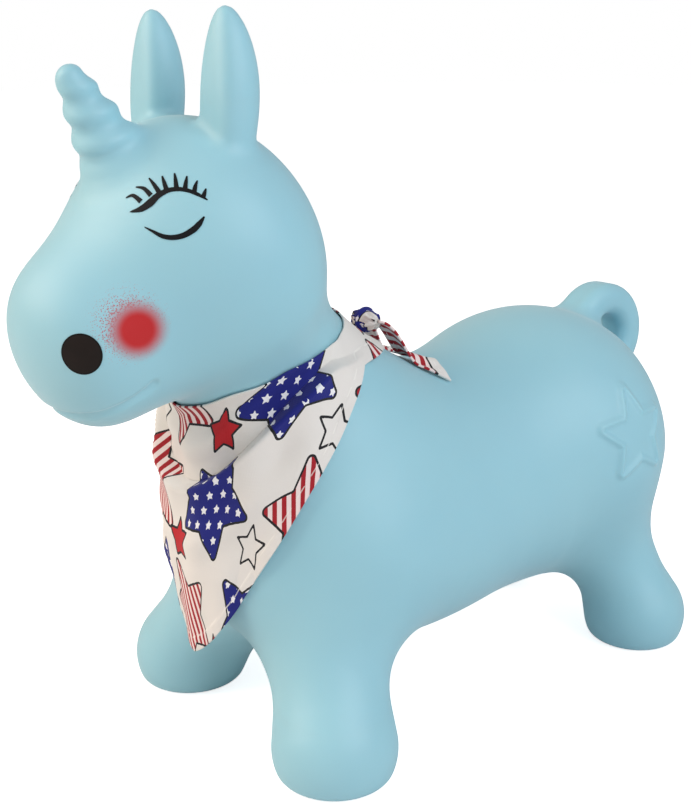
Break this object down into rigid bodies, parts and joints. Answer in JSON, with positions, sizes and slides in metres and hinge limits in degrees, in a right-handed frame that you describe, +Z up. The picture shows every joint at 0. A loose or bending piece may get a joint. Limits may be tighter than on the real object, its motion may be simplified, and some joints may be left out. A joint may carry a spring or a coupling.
{
  "type": "inflatable bouncy animal hopper",
  "caption": "Inflatable ride-on bouncy unicorn with ears, spiral horn, tail loop handle, four squashy legs, an air plug and a tied cotton bandana.",
  "frame": {"origin": "middle of the footprint on the ground plane under the four soles", "axes": "+Z up, the animal faces -Y, its left side is +X"},
  "size_m": [0.2628, 0.5568, 0.4903],
  "materials": {
    "skin": "matte soft vinyl",
    "plug": "satin",
    "cloth": "printed plain-weave cotton"
  },
  "bodies": {
    "body": {"torso_shell": "skin", "head_shell": "skin", "horn": "skin", "tail_handle": "skin", "scarf_bib": "cloth", "scarf_knot": "cloth", "leg_cuff_front_left": "skin", "leg_cuff_front_right": "skin", "leg_cuff_rear_left": "skin", "leg_cuff_rear_right": "skin"},
    "ear_left": {"ear_left": "skin"},
    "ear_right": {"ear_right": "skin"},
    "foot_front_left": {"foot_front_left": "skin"},
    "foot_front_right": {"foot_front_right": "skin"},
    "foot_rear_left": {"foot_rear_left": "skin"},
    "foot_rear_right": {"foot_rear_right": "skin"},
    "valve_plug": {"valve_plug": "plug"},
    "scarf_end_left": {"scarf_end_left": "cloth"},
    "scarf_end_right": {"scarf_end_right": "cloth"}
  },
  "joints": [
    {"name": "ear_left_bend", "type": "hinge", "parent": "body", "child": "ear_left", "pos_m": [0.0415, -0.156, 0.435], "axis": [1, 0, 0], "range_deg": [-18, 18], "stiffness_Nm_per_rad": 1.2},
    {"name": "ear_right_bend", "type": "hinge", "parent": "body", "child": "ear_right", "pos_m": [-0.0415, -0.156, 0.435], "axis": [1, 0, 0], "range_deg": [-18, 18], "stiffness_Nm_per_rad": 1.2},
    {"name": "leg_front_left_squash", "type": "slide", "parent": "body", "child": "foot_front_left", "axis": [0, 0, 1], "range_m": [0, 0.012], "stiffness_N_per_m": 4000, "springref_m": -0.0015, "deforming": ["leg_cuff_front_left"]},
    {"name": "leg_front_right_squash", "type": "slide", "parent": "body", "child": "foot_front_right", "axis": [0, 0, 1], "range_m": [0, 0.012], "stiffness_N_per_m": 4000, "springref_m": -0.0015, "deforming": ["leg_cuff_front_right"]},
    {"name": "leg_rear_left_squash", "type": "slide", "parent": "body", "child": "foot_rear_left", "axis": [0, 0, 1], "range_m": [0, 0.012], "stiffness_N_per_m": 4000, "springref_m": -0.0015, "deforming": ["leg_cuff_rear_left"]},
    {"name": "leg_rear_right_squash", "type": "slide", "parent": "body", "child": "foot_rear_right", "axis": [0, 0, 1], "range_m": [0, 0.012], "stiffness_N_per_m": 4000, "springref_m": -0.0015, "deforming": ["leg_cuff_rear_right"]},
    {"name": "valve_plug_pull", "type": "slide", "parent": "body", "child": "valve_plug", "axis": [0, 0, -1], "range_m": [0, 0.03]},
    {"name": "scarf_end_left_lift", "type": "hinge", "parent": "body", "child": "scarf_end_left", "pos_m": [0, -0.017, 0.28167], "axis": [1, 0, 0], "range_deg": [0, 55]},
    {"name": "scarf_end_right_lift", "type": "hinge", "parent": "body", "child": "scarf_end_right", "pos_m": [0, -0.017, 0.28167], "axis": [1, 0, 0], "range_deg": [0, 55]}
  ]
}
